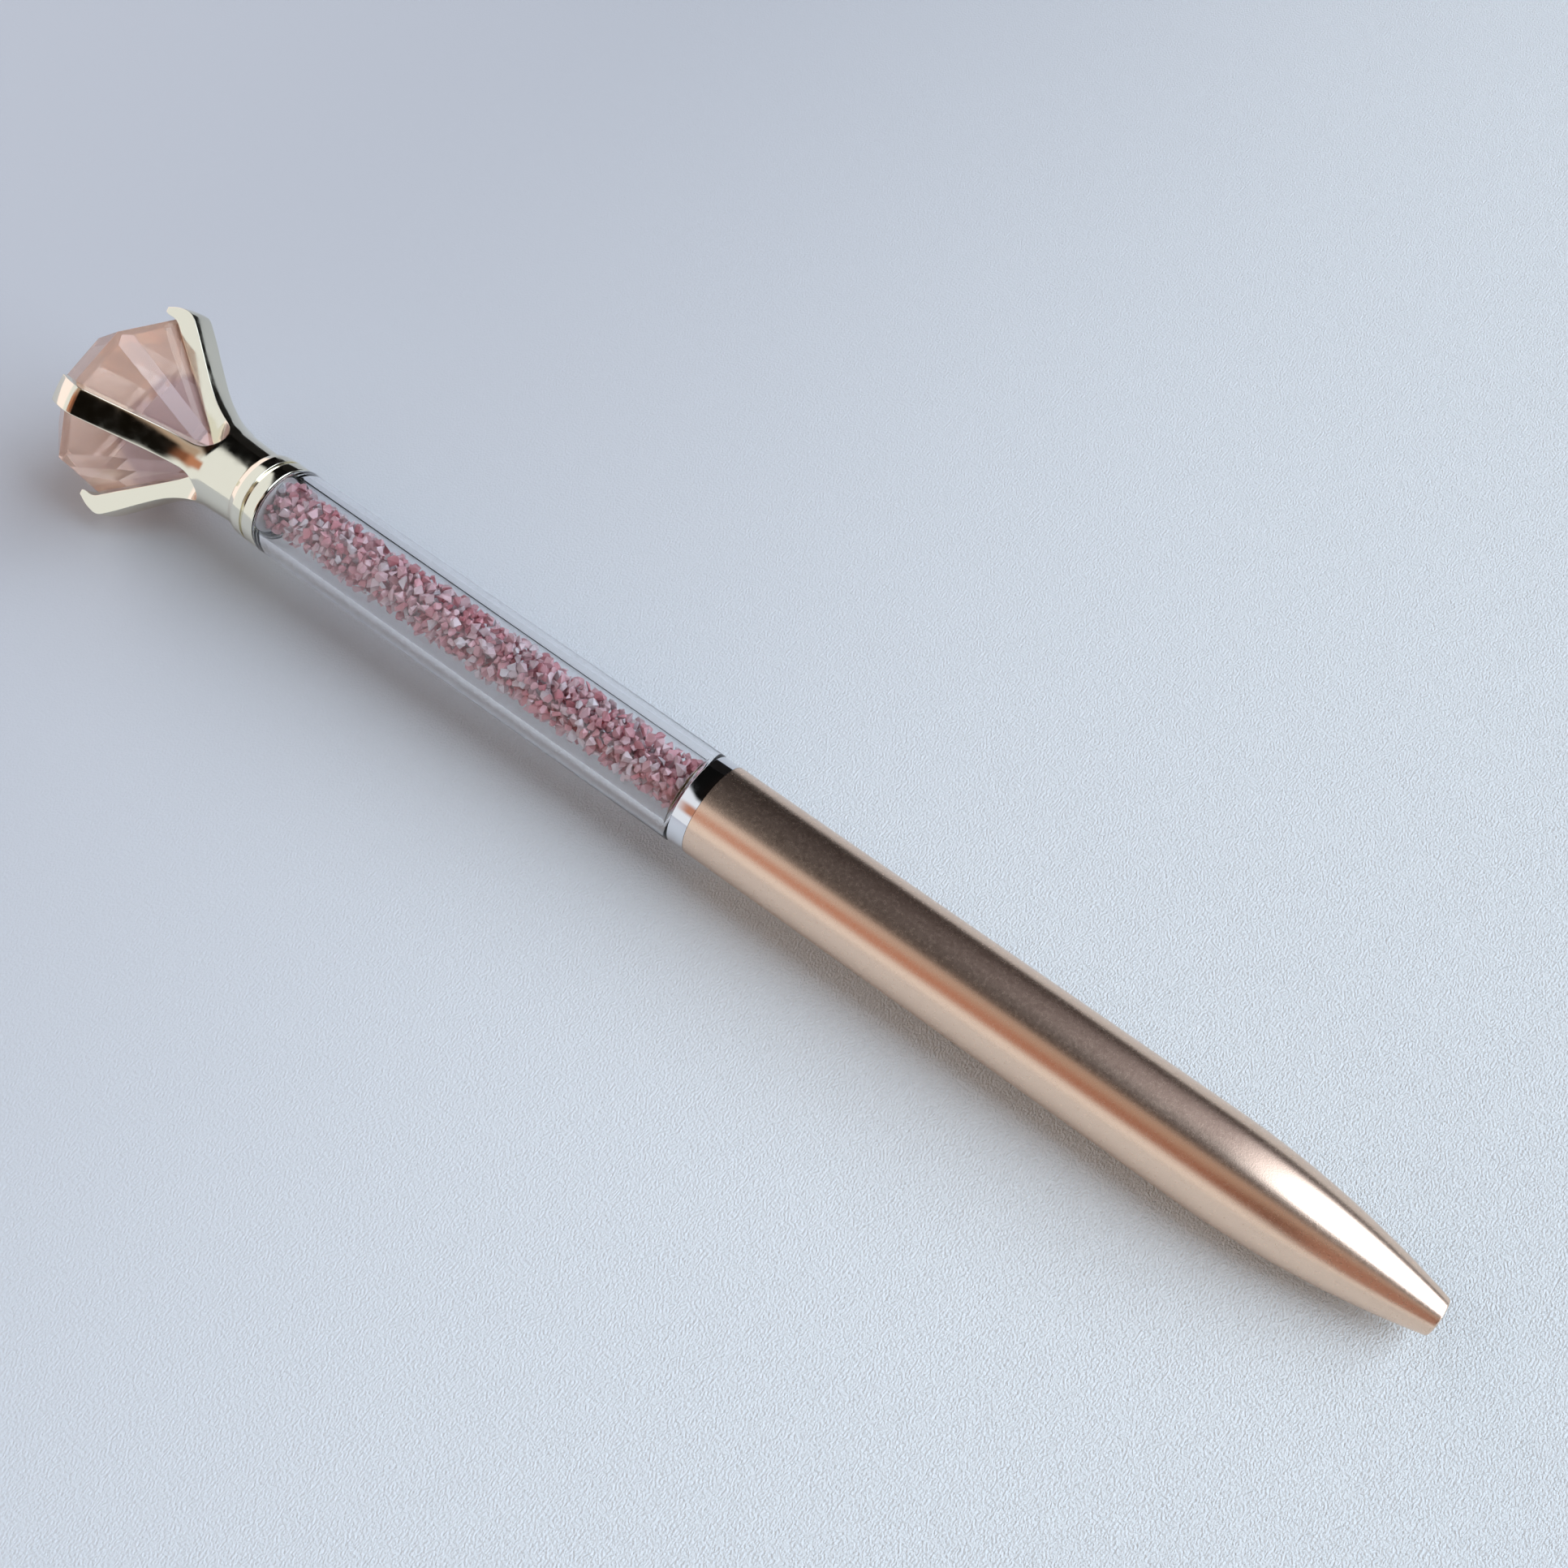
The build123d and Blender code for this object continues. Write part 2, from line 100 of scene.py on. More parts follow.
# Claw: its two outlines run from the notches between the prongs to the prongs' tips
PRONG_COUNT = 4
PRONG_TURN = math.radians(39)
PRONG_HALF_WIDTH = 1.25
PRONG_STEPS = 34
PRONG_COLUMNS = [column / 5 for column in range(-5, 6)]
TIP_REACH = 0.32
TIP_NARROWING = 0.3
NECK_STEPS = 8
NECK_R = 3.7
SOCKET_R = 3.3
NOTCH_X = -56.2
NOTCH_DEPTH = 1.7
CUP_R = 1.9
CLAW_OUTER = (
    (NOTCH_X, 3.88), (-57.9, 4.25), (-60.1, 5.4), (-62.2, 7.15), (-64.4, 9.15),
    (-65.8, 10.32), (-66.25, 10.5), (-67.0, 10.45), (-67.8, 10.25), (-68.4, 9.95),
)
CLAW_INNER = (
    (NOTCH_X, CUP_R), (-57.9, CUP_R), (-59.7, 3.3), (-62.5, 5.45), (-65.4, 7.7),
    (-66.6, 8.7), (-67.2, 9.15), (-67.7, 9.25), (-68.4, 9.2),
)
CLAW_EDGE = 0.04

# Stone: its worn edges, and where its peach meets the painted shade towards its point
STONE_EDGE = 0.05
STONE_BORDER_X = -63.5
STONE_BORDER_RAGGED = 3.0
STONE_BORDER_BLUR = 0.6

# Tube and its chips
TUBE_EDGE = 0.35
SPIGOT_R = 2.9
BORE_R = 3.05
BORE_END_X = -2.3
CHIP_SEED = 11
CHIP_PATTERNS = 40
CHIP_CORNERS = (8, 12)
CHIP_FLATNESS = (1, 0.9, 0.75)
CHIP_SIZE = (0.4, 0.68)
CHIP_SPACING = 0.66
CHIP_TRIES = 90000
CHIP_DRIFT = 0.3
CHIP_WALL_GAP = 0.04
CHIP_END_GAP = 0.02

# Lower barrel
BARREL_STEPS = 24
RING_GAP = 0.03
BARREL_WALL = 0.5
TAPER_X = 47.5
NOSE_R = 1.6
NOSE_BORE_R = 1.15
NOSE_STEP_X = 62.0
NOSE_ARC_R = ((NOSE_X - TAPER_X) ** 2 + (BARREL_R - NOSE_R) ** 2) / (2 * (BARREL_R - NOSE_R))

# Return spring
SPRING_TURNS = 9
SPRING_WIRE_R = 0.15
SPRING_CLOSING = 0.6
SPRING_GROUND = 0.06
SPRING_STEPS_PER_TURN = 40
WIRE_SEGMENTS = 12

# Camera, floor and cards, in metres, with the lens in millimetres
CAMERA_PLACE = Vector((0.05196, -0.05839, 0.13729))
CAMERA_TARGET = Vector((0.00449, 0.00664, 0.0040))
CAMERA_ROLL = math.radians(1.4)
CAMERA_LENS = 42.2
FLOOR_HALF = 1.5
# Where the floor's painted shade at the crown's end fades out and its grain deepens
FLOOR_SHADE_AND_GRAIN_X = (-0.09, 0.08)
FAR_EDGE_X = (-0.14, -0.03)
FAR_EDGE_Y = 0.125
FAR_EDGE_HEIGHT = 0.08
CLOTH_X = (0.076, 0.13)
CLOTH_LEAN = (math.radians(36), math.radians(72))
CLOTH_DISTANCE = 0.06

ROUND_SEGMENTS = 160
WELD = 0.0005


# Mesh building

def around(x, radius, angle):
    """The point at one radius and angle round the pen's axis."""
    return Vector((x, radius * math.cos(angle), radius * math.sin(angle)))


def add_object(name, data):
    """A new object in the scene."""
    thing = bpy.data.objects.new(name, data)
    bpy.context.scene.collection.objects.link(thing)
    return thing


def add_grid(mesh, rows):
    """Quads between neighbouring rows of points."""
    placed = [[mesh.verts.new(point) for point in row] for row in rows]
    for row, after in zip(placed, placed[1:]):
        for corners in zip(row, row[1:], after[1:], after):
            mesh.faces.new(corners)


def finish_piece(name, mesh, smooth_deg):
    """Welds a mesh made on the pen's axis, lays it down in the frame and makes its object."""
    bmesh.ops.remove_doubles(mesh, verts=mesh.verts, dist=WELD)
    bmesh.ops.recalc_face_normals(mesh, faces=mesh.faces)
    data = bpy.data.meshes.new(name)
    mesh.to_mesh(data)
    mesh.free()
    data.transform(PEN)
    data.shade_smooth()
    data.set_sharp_from_angle(angle=math.radians(smooth_deg))
    return add_object(name, data)


def soften_edges(piece, width_mm, segments, from_deg):
    """Bevels the edges that are sharper than an angle."""
    bevel = piece.modifiers.new("soft edges", "BEVEL")
    bevel.width = width_mm * MM
    bevel.segments = segments
    bevel.limit_method = "ANGLE"
    bevel.angle_limit = math.radians(from_deg)


def rounded(corners, steps=6):
    """Closed outline through (x, r, fillet) corners, with each fillet drawn as an arc."""
    outline = []
    for before, corner, after in zip(corners[-1:] + corners[:-1], corners, corners[1:] + corners[:1]):
        here = Vector(corner[:2])
        fillet = corner[2]
        if fillet == 0:
            outline.append(here)
            continue
        to_before = (Vector(before[:2]) - here).normalized()
        to_after = (Vector(after[:2]) - here).normalized()
        half = to_before.angle(to_after) / 2
        centre = here + (to_before + to_after).normalized() * fillet / math.sin(half)
        start = here + to_before * fillet / math.tan(half)
        end = here + to_after * fillet / math.tan(half)
        for step in range(steps + 1):
            spoke = start.lerp(end, step / steps) - centre
            outline.append(centre + spoke.normalized() * fillet)
    return outline


def lathe(name, outline, smooth_deg=35):
    """A closed outline of (x, r) points turned round the pen's axis."""
    mesh = bmesh.new()
    loop = [*outline, outline[0]]
    rows = []
    for segment in range(ROUND_SEGMENTS + 1):
        angle = 2 * math.pi * segment / ROUND_SEGMENTS
        rows.append([around(x, r, angle) for x, r in loop])
    add_grid(mesh, rows)
    return finish_piece(name, mesh, smooth_deg)


def smooth_through(points, count, fine_steps=16):
    """count + 1 evenly spaced points on a smooth curve through the given ones."""
    knots = [Vector(point) for point in points]
    knots = [knots[0] * 2 - knots[1], *knots, knots[-1] * 2 - knots[-2]]
    fine = []
    for before, start, end, after in zip(knots, knots[1:], knots[2:], knots[3:]):
        for step in range(fine_steps):
            t = step / fine_steps
            square_term = 2 * before - 5 * start + 4 * end - after
            cube_term = 3 * start - before - 3 * end + after
            fine.append(start + ((end - before) + square_term * t + cube_term * t * t) * (t / 2))
    fine.append(knots[-2])
    travelled = [0.0]
    for start, end in zip(fine, fine[1:]):
        travelled.append(travelled[-1] + (end - start).length)
    even = []
    for index in range(count + 1):
        goal = travelled[-1] * index / count
        place = max(i for i, length in enumerate(travelled[:-1]) if length <= goal + 1e-9)
        share = (goal - travelled[place]) / (travelled[place + 1] - travelled[place])
        even.append(fine[place].lerp(fine[place + 1], share))
    return even


# Pieces

def prong_rows(outline, direction):
    """Rows of points across one prong, with parallel sides that spread into the notch at its root."""
    rows = []
    quarter = math.pi / PRONG_COUNT
    widest = 0.98 * math.sin(quarter)
    for x, radius in outline:
        side = math.asin(min(PRONG_HALF_WIDTH / radius, widest))
        into_notch = min(1.0, max(0.0, (NOTCH_X - x) / NOTCH_DEPTH))
        sweep = into_notch * math.pi / 2
        edge_angle = side + (quarter - side) * (1 - math.sin(sweep))
        edge_lag = NOTCH_DEPTH * (into_notch - (1 - math.cos(sweep)))
        rows.append([
            around(x + edge_lag * share * share, radius, direction + share * edge_angle)
            for share in PRONG_COLUMNS
        ])
    return rows


def quarter_row(x, radius, direction):
    """One quarter of a ring of points, centred on a prong's direction."""
    return [around(x, radius, direction + share * math.pi / PRONG_COUNT) for share in PRONG_COLUMNS]


def tip_rounding(outer_end, inner_end):
    """Two points beyond a prong's end that round it off."""
    middle = (outer_end + inner_end) / 2 - Vector((TIP_REACH, 0))
    half = Vector((0, (outer_end - inner_end).y * TIP_NARROWING))
    return [middle + half, middle - half]


def neck_outline():
    """From the notches between the prongs, along the neck in short steps, and into its socket."""
    start = Vector(CLAW_OUTER[0])
    end = Vector((COLLAR_X, NECK_R))
    side = [start.lerp(end, step / NECK_STEPS) for step in range(1, NECK_STEPS)]
    corners = rounded([
        (*start, 0), (*end, 0.12), (COLLAR_X, SOCKET_R, 0), (SPIGOT_X, SOCKET_R, 0), (SPIGOT_X, 0.0, 0),
    ])
    return [corners[0], *side, *corners[1:]]


def make_crown_claw():
    """Neck and four hooked prongs in one piece."""
    mesh = bmesh.new()
    outer = smooth_through(CLAW_OUTER, PRONG_STEPS)
    inner = smooth_through(CLAW_INNER, PRONG_STEPS)
    tip = tip_rounding(outer[-1], inner[-1])
    neck = neck_outline()
    for index in range(PRONG_COUNT):
        direction = PRONG_TURN + index * 2 * math.pi / PRONG_COUNT
        outside = prong_rows(outer, direction)
        inside = prong_rows(inner, direction)
        around_tip = prong_rows(tip, direction)
        add_grid(mesh, [*outside, *around_tip, *reversed(inside)])
        for edge in (0, -1):
            outer_side = [row[edge] for row in (*outside, around_tip[0])]
            inner_side = [row[edge] for row in (*inside, around_tip[1])]
            add_grid(mesh, [outer_side, inner_side])
        add_grid(mesh, [quarter_row(NOTCH_X, radius, direction) for radius in (0.0, CUP_R)])
        add_grid(mesh, [quarter_row(x, radius, direction) for x, radius in neck])
    bmesh.ops.remove_doubles(mesh, verts=mesh.verts, dist=WELD)
    bmesh.ops.dissolve_degenerate(mesh, edges=mesh.edges, dist=WELD)
    claw = finish_piece("claw", mesh, 180)
    soften_edges(claw, CLAW_EDGE, 3, 40)
    smooth = claw.modifiers.new("smooth", "SUBSURF")
    smooth.levels = 1
    smooth.render_levels = 1
    return claw


def make_collar():
    """Polished collar with a seam towards the neck and one turned groove."""
    seam_r = 3.96
    shoulder_x, shoulder_r = COLLAR_X + 0.6, COLLAR_R - 0.06
    groove_start, groove_end, groove_r = -50.55, -50.21, COLLAR_R - 0.28
    return lathe("collar", rounded([
        (COLLAR_X, SOCKET_R, 0), (COLLAR_X, seam_r, 0.2), (shoulder_x, shoulder_r, 0.2),
        (groove_start, COLLAR_R, 0.06), (groove_start, groove_r, 0.05),
        (groove_end, groove_r, 0.05), (groove_end, COLLAR_R, 0.06),
        (TUBE_X, COLLAR_R, 0.14), (TUBE_X, SOCKET_R, 0),
    ]))


def make_tube():
    """Thick clear tube with rounded shoulders, a spigot at each end and the chips' bore."""
    return lathe("clear_tube", rounded([
        (SPIGOT_X, STOPPER_R, 0), (SPIGOT_X, SOCKET_R, 0.1), (TUBE_X, SOCKET_R, 0),
        (TUBE_X, TUBE_R, TUBE_EDGE), (RING_X, TUBE_R, TUBE_EDGE), (RING_X, SPIGOT_R, 0),
        (SPIGOT_END_X, SPIGOT_R, 0.1), (SPIGOT_END_X, 0.0, 0), (BORE_END_X, 0.0, 0),
        (BORE_END_X, BORE_R, 0.15), (STOPPER_FRONT_X, BORE_R, 0), (STOPPER_FRONT_X, STOPPER_R, 0),
    ]))


def chip_pattern(rng):
    """Corners and faces of one irregular cut chip about the origin."""
    mesh = bmesh.new()
    for _ in range(rng.randint(*CHIP_CORNERS)):
        spoke = Vector([rng.gauss(0, 1) for _ in range(3)]).normalized()
        mesh.verts.new(spoke * Vector(CHIP_FLATNESS))
    bmesh.ops.convex_hull(mesh, input=mesh.verts)
    mesh.verts.index_update()
    corners = [vertex.co.copy() for vertex in mesh.verts]
    faces = [[vertex.index for vertex in face.verts] for face in mesh.faces]
    mesh.free()
    return corners, faces


def chip_places(rng):
    """Loose packing of chip centres, lying against the far side of the bore."""
    overhang = 0.8
    room = BORE_R - CHIP_SIZE[1] * overhang - CHIP_DRIFT
    start, end = STOPPER_FRONT_X + 0.15, BORE_END_X - 0.3
    bins = {}
    places = []
    for _ in range(CHIP_TRIES):
        along = rng.uniform(start, end)
        radius = room * math.sqrt(rng.random())
        angle = rng.uniform(0, 2 * math.pi)
        place = around(along, radius, angle) + Vector((0, CHIP_DRIFT, 0))
        key = int(along)
        near = [other for k in (key - 1, key, key + 1) for other in bins.get(k, [])]
        if any((place - other).length < CHIP_SPACING for other in near):
            continue
        bins.setdefault(key, []).append(place)
        places.append(place)
    return places


def make_chips():
    """Hundreds of cut crystal chips, each with its own tone."""
    rng = random.Random(CHIP_SEED)
    patterns = [chip_pattern(rng) for _ in range(CHIP_PATTERNS)]
    corners, faces, tones = [], [], []
    for place in chip_places(rng):
        pattern_corners, pattern_faces = rng.choice(patterns)
        turn = Quaternion([rng.gauss(0, 1) for _ in range(4)]).normalized()
        size = rng.uniform(*CHIP_SIZE)
        first = len(corners)
        for corner in pattern_corners:
            point = place + turn @ (corner * size)
            excess = math.hypot(point.y, point.z) / (BORE_R - CHIP_WALL_GAP)
            if excess > 1:
                point.y /= excess
                point.z /= excess
            point.x = min(max(point.x, STOPPER_FRONT_X + CHIP_END_GAP), BORE_END_X - CHIP_END_GAP)
            corners.append(point)
        tone = rng.random()
        for face in pattern_faces:
            faces.append([first + index for index in face])
            tones.append(tone)
    data = bpy.data.meshes.new("crystal_chips")
    data.from_pydata(corners, [], faces)
    data.transform(PEN)
    tone_layer = data.attributes.new("tone", "FLOAT", "FACE")
    tone_layer.data.foreach_set("value", tones)
    return add_object("crystal_chips", data)


def make_centre_ring():
    """Narrow polished ring between the tube and the barrel."""
    return lathe("ring", rounded([
        (RING_X, COUPLER_R, 0), (RING_X, RING_R, 0.05), (RING_END_X, RING_R, 0), (RING_END_X, COUPLER_R, 0),
    ]))


def nose_radius(x):
    """Outer radius of the nose's arc at one place along the pen."""
    return BARREL_R - NOSE_ARC_R + math.sqrt(NOSE_ARC_R ** 2 - (x - TAPER_X) ** 2)


def make_barrel():
    """Straight barrel that curves in to the nose, with a step inside for the spring."""
    bore_r = BARREL_R - BARREL_WALL
    rear_x = RING_END_X + RING_GAP
    steps = [step / BARREL_STEPS for step in range(1, BARREL_STEPS + 1)]
    straight = [(rear_x + (TAPER_X - rear_x) * step, BARREL_R, 0) for step in steps]
    curve_places = [TAPER_X + (NOSE_X - TAPER_X) * step for step in steps]
    curve = [(x, nose_radius(x), 0) for x in curve_places[:-1]]
    inside_x = NOSE_STEP_X - 7
    return lathe("barrel", rounded([
        (rear_x, bore_r, 0.05), (rear_x, BARREL_R, 0), *straight, *curve, (NOSE_X, NOSE_R, 0.2),
        (NOSE_X, NOSE_BORE_R, 0.1), (NOSE_STEP_X, NOSE_BORE_R, 0),
        (NOSE_STEP_X, nose_radius(NOSE_STEP_X) - BARREL_WALL, 0),
        (inside_x, nose_radius(inside_x) - BARREL_WALL, 0), (TAPER_X - 2, bore_r, 0),
    ]))


def make_spring():
    """Coil with closed, ground ends between the refill's shoulder and the step in the nose."""
    mesh = bmesh.new()
    centre_r = SPRING_R - SPRING_WIRE_R
    first_x, last_x = SPRING_X + SPRING_WIRE_R, SPRING_END_X - SPRING_WIRE_R
    steps = SPRING_TURNS * SPRING_STEPS_PER_TURN
    rows = []
    for step in range(steps + 1):
        share = step / steps
        closed = SPRING_CLOSING * math.sin(2 * math.pi * share) / (2 * math.pi)
        angle = 2 * math.pi * SPRING_TURNS * share
        centre = around(first_x + (last_x - first_x) * (share - closed), centre_r, angle)
        row = []
        for corner in range(WIRE_SEGMENTS + 1):
            turn = 2 * math.pi * corner / WIRE_SEGMENTS
            point = centre + around(math.sin(turn), math.cos(turn), angle) * SPRING_WIRE_R
            point.x = min(max(point.x, SPRING_X + SPRING_GROUND), SPRING_END_X - SPRING_GROUND)
            row.append(point)
        rows.append(row)
    add_grid(mesh, rows)
    for row in (rows[0], rows[-1]):
        mesh.faces.new([mesh.verts.new(point) for point in row[:-1]])
    return finish_piece("spring", mesh, 60)


def make_gem():
    """The stone's own facets with hair-fine worn edges between them."""
    source = frame["nodes"]["stone"].data
    mesh = bmesh.new()
    mesh.from_mesh(source)
    mesh.transform(PEN_INVERSE)
    bmesh.ops.remove_doubles(mesh, verts=mesh.verts, dist=2 * WELD)
    bmesh.ops.dissolve_limit(mesh, angle_limit=math.radians(0.5), verts=mesh.verts, edges=mesh.edges)
    gem = finish_piece("gem", mesh, 1)
    soften_edges(gem, STONE_EDGE, 2, 2)
    return gem


# Materials

def add(tree, kind, inputs=None, **settings):
    """A new shader node, with its settings and its inputs set or linked."""
    node = tree.nodes.new(kind)
    for key, value in settings.items():
        setattr(node, key, value)
    for key, value in (inputs or {}).items():
        if isinstance(value, bpy.types.NodeSocket):
            tree.links.new(value, node.inputs[key])
        else:
            node.inputs[key].default_value = value
    return node


def new_material(name, color, roughness, metallic=0.0, **sockets):
    """A Principled material and its node tree and shader."""
    material = bpy.data.materials.new(name)
    material.use_nodes = True
    tree = material.node_tree
    shader = tree.nodes["Principled BSDF"]
    shader.inputs["Base Color"].default_value = (*color, 1)
    shader.inputs["Roughness"].default_value = roughness
    shader.inputs["Metallic"].default_value = metallic
    for key, value in sockets.items():
        shader.inputs[key.replace("_", " ")].default_value = value
    return material, tree, shader


def noise(tree, size_mm, detail=2.0, squeeze=(1, 1, 1)):
    """Noise that sticks to the piece, with grains of about size_mm, squeezed along each axis."""
    place = add(tree, "ShaderNodeTexCoord").outputs["Object"]
    mapping = add(tree, "ShaderNodeMapping", {"Vector": place, "Scale": squeeze})
    return add(tree, "ShaderNodeTexNoise", {
        "Vector": mapping.outputs["Vector"], "Scale": 1 / (size_mm * MM), "Detail": detail,
    }).outputs["Fac"]


def spread(tree, value, low, high):
    """A noise value spread over a range."""
    return add(tree, "ShaderNodeMapRange", {
        "Value": value, "From Min": 0.3, "From Max": 0.7, "To Min": low, "To Max": high,
    }).outputs["Result"]


def bump(tree, height, distance_mm, strength):
    """A Bump node's normal."""
    return add(tree, "ShaderNodeBump", {
        "Height": height, "Distance": distance_mm * MM, "Strength": strength,
    }).outputs["Normal"]


def calc(tree, operation, *values):
    """A Math node's result."""
    node = add(tree, "ShaderNodeMath", operation=operation)
    for socket, value in zip(node.inputs, values):
        if isinstance(value, bpy.types.NodeSocket):
            tree.links.new(value, socket)
        else:
            socket.default_value = value
    return node.outputs["Value"]


def soft_step(tree, value, start, end):
    """0 below start, 1 above end, and smooth between them."""
    return add(tree, "ShaderNodeMapRange", {
        "Value": value, "From Min": start, "From Max": end,
    }, interpolation_type="SMOOTHSTEP").outputs["Result"]


def layered(tree, under, over, share):
    """The colour under with the colour over on top of it, as far as share says."""
    mix = add(tree, "ShaderNodeMix", {"Factor": share}, data_type="RGBA")
    for socket, color in (("A", under), ("B", over)):
        if isinstance(color, bpy.types.NodeSocket):
            tree.links.new(color, mix.inputs[socket])
        else:
            mix.inputs[socket].default_value = (*color, 1)
    return mix.outputs["Result"]


def place_along(tree):
    """Each point's place along the pen, in metres in the frame, that stays with its piece."""
    place = add(tree, "ShaderNodeTexCoord").outputs["Object"]
    return add(tree, "ShaderNodeSeparateXYZ", {"Vector": place}).outputs["X"]


def satin_rose_gold():
    """Blasted and anodised metal: a tight grain that softens every reflection."""
    material, tree, shader = new_material("satin_rose_gold", (0.84, 0.63, 0.485), 0.26, 1.0)
    tree.links.new(spread(tree, noise(tree, size_mm=0.3), 0.24, 0.28), shader.inputs["Roughness"])
    grain = bump(tree, noise(tree, size_mm=0.12), distance_mm=0.01, strength=0.3)
    tree.links.new(grain, shader.inputs["Normal"])
    return material


def polished_metal(name, color, roughness):
    """Mirror plating with faint rub marks."""
    material, tree, shader = new_material(name, color, roughness, 1.0)
    marks = noise(tree, size_mm=0.9, detail=4)
    tree.links.new(spread(tree, marks, roughness * 0.6, roughness * 1.8), shader.inputs["Roughness"])
    return material


def clear_acrylic():
    """Clear polished plastic."""
    return new_material("clear_acrylic", (0.985, 0.985, 0.995), 0.0, Transmission_Weight=1.0, IOR=1.45)[0]


def peach_stone():
    """Half-clear peach stone with painted shade towards the point, a mauve for the shadowed floor seen through it,
    and a ragged border between them.
    """
    # The mauve is painted shade: the shadowed floor seen through the stone's table, drawn into its colour.
    peach, mauve = (1.0, 0.74, 0.60), (0.56, 0.39, 0.38)
    material, tree, shader = new_material("peach_stone", peach, 0.0, Transmission_Weight=0.72, IOR=1.45)
    waves, blur = STONE_BORDER_RAGGED * MM, STONE_BORDER_BLUR * MM
    ragged = calc(tree, "MULTIPLY_ADD", noise(tree, size_mm=3.0), waves, place_along(tree))
    border = (PEN @ Vector((STONE_BORDER_X, 0, 0))).x + waves / 2
    # Where the painted shade takes over from the peach, along a ragged border.
    painted_shade_zone = soft_step(tree, ragged, border - blur, border + blur)
    tree.links.new(layered(tree, peach, mauve, painted_shade_zone), shader.inputs["Base Color"])
    return material


def rose_crystal():
    """Chips from deep rose to nearly white, by each chip's own tone."""
    middle = (0.98, 0.60, 0.63)
    material, tree, shader = new_material("rose_crystal", middle, 0.04, Transmission_Weight=0.25, IOR=1.5)
    tone = add(tree, "ShaderNodeAttribute", attribute_name="tone").outputs["Fac"]
    shades = add(tree, "ShaderNodeValToRGB", {"Fac": tone})
    ramp = shades.color_ramp
    ramp.elements[0].color = (0.90, 0.38, 0.42, 1)
    ramp.elements[1].color = (1.0, 0.97, 0.99, 1)
    for place, color in ((0.5, middle), (0.85, (1.0, 0.82, 0.84))):
        ramp.elements.new(place).color = (*color, 1)
    tree.links.new(shades.outputs["Color"], shader.inputs["Base Color"])
    return material


def turned_metal(name, color, roughness):
    """Bare metal with the fine rings that a lathe leaves."""
    material, tree, shader = new_material(name, color, roughness, 1.0)
    rings = noise(tree, size_mm=0.1, squeeze=(1, 0.05, 0.05))
    tree.links.new(spread(tree, rings, roughness * 0.7, roughness * 1.4), shader.inputs["Roughness"])
    tree.links.new(bump(tree, rings, distance_mm=0.01, strength=0.4), shader.inputs["Normal"])
    return material


def moulded_plastic(name, color, roughness, **sockets):
    """Plastic or rubber with the fine grain of its mould."""
    material, tree, shader = new_material(name, color, roughness, **sockets)
    grain = noise(tree, size_mm=0.25, detail=3)
    tree.links.new(spread(tree, grain, roughness * 0.8, roughness * 1.2), shader.inputs["Roughness"])
    tree.links.new(bump(tree, grain, distance_mm=0.01, strength=0.2), shader.inputs["Normal"])
    return material


MATERIALS = {
    "peach_stone": peach_stone(),
    "champagne_gold": polished_metal("champagne_gold", (0.85, 0.81, 0.67), 0.08),
    "clear_acrylic": clear_acrylic(),
    "rose_crystal": rose_crystal(),
    "chrome_ring": polished_metal("chrome_ring", (0.82, 0.82, 0.84), 0.05),
    "satin_rose_gold": satin_rose_gold(),
    "brass": turned_metal("brass", (0.80, 0.62, 0.32), 0.25),
    "spring_steel": turned_metal("spring_steel", (0.62, 0.62, 0.64), 0.2),
    "steel_sleeve": turned_metal("steel_sleeve", (0.66, 0.66, 0.68), 0.3),
    "point_metal": turned_metal("point_metal", (0.72, 0.70, 0.66), 0.2),
    "carbide": turned_metal("carbide", (0.30, 0.30, 0.32), 0.15),
    "black_rubber": moulded_plastic("black_rubber", (0.02, 0.02, 0.02), 0.6),
    "grey_acetal": moulded_plastic("grey_acetal", (0.42, 0.43, 0.45), 0.4),
    "white_plastic": moulded_plastic("white_plastic", (0.82, 0.82, 0.79), 0.35),
    "refill_plastic": moulded_plastic(
        "refill_plastic", (0.88, 0.90, 0.92), 0.12, Transmission_Weight=0.9, IOR=1.5
    ),
    "follower_grease": moulded_plastic(
        "follower_grease", (0.80, 0.72, 0.45), 0.2, Transmission_Weight=0.7, IOR=1.45
    ),
    "black_gel_ink": moulded_plastic("black_gel_ink", (0.01, 0.01, 0.014), 0.1),
}


def dress(piece, slot, body, *nodes):
    """Gives a new piece its material, the body that it rides on and the nodes it stands for."""
    piece.data.materials.append(MATERIALS[slot])
    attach(piece, body)
    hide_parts(*nodes)


dress(make_gem(), "peach_stone", "head", "stone")
dress(make_crown_claw(), "champagne_gold", "head", "crown_claw")
dress(make_collar(), "champagne_gold", "head", "collar_ring")
dress(make_tube(), "clear_acrylic", "head", "crystal_tube")
dress(make_chips(), "rose_crystal", "head", "crystal_fill")
dress(make_centre_ring(), "chrome_ring", "head", "centre_ring")
dress(make_barrel(), "satin_rose_gold", "barrel", "lower_barrel")

spring = make_spring()
dress(spring, "spring_steel", "barrel", "return_spring")
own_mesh(spring)

subparts = {part["node"]: part["material_slot"] for part in frame["record"]["subparts"]}
for node_name, node_object in frame["nodes"].items():
    node_object.data.materials.clear()
    node_object.data.materials.append(MATERIALS[subparts[node_name]])


# Floor, light and camera

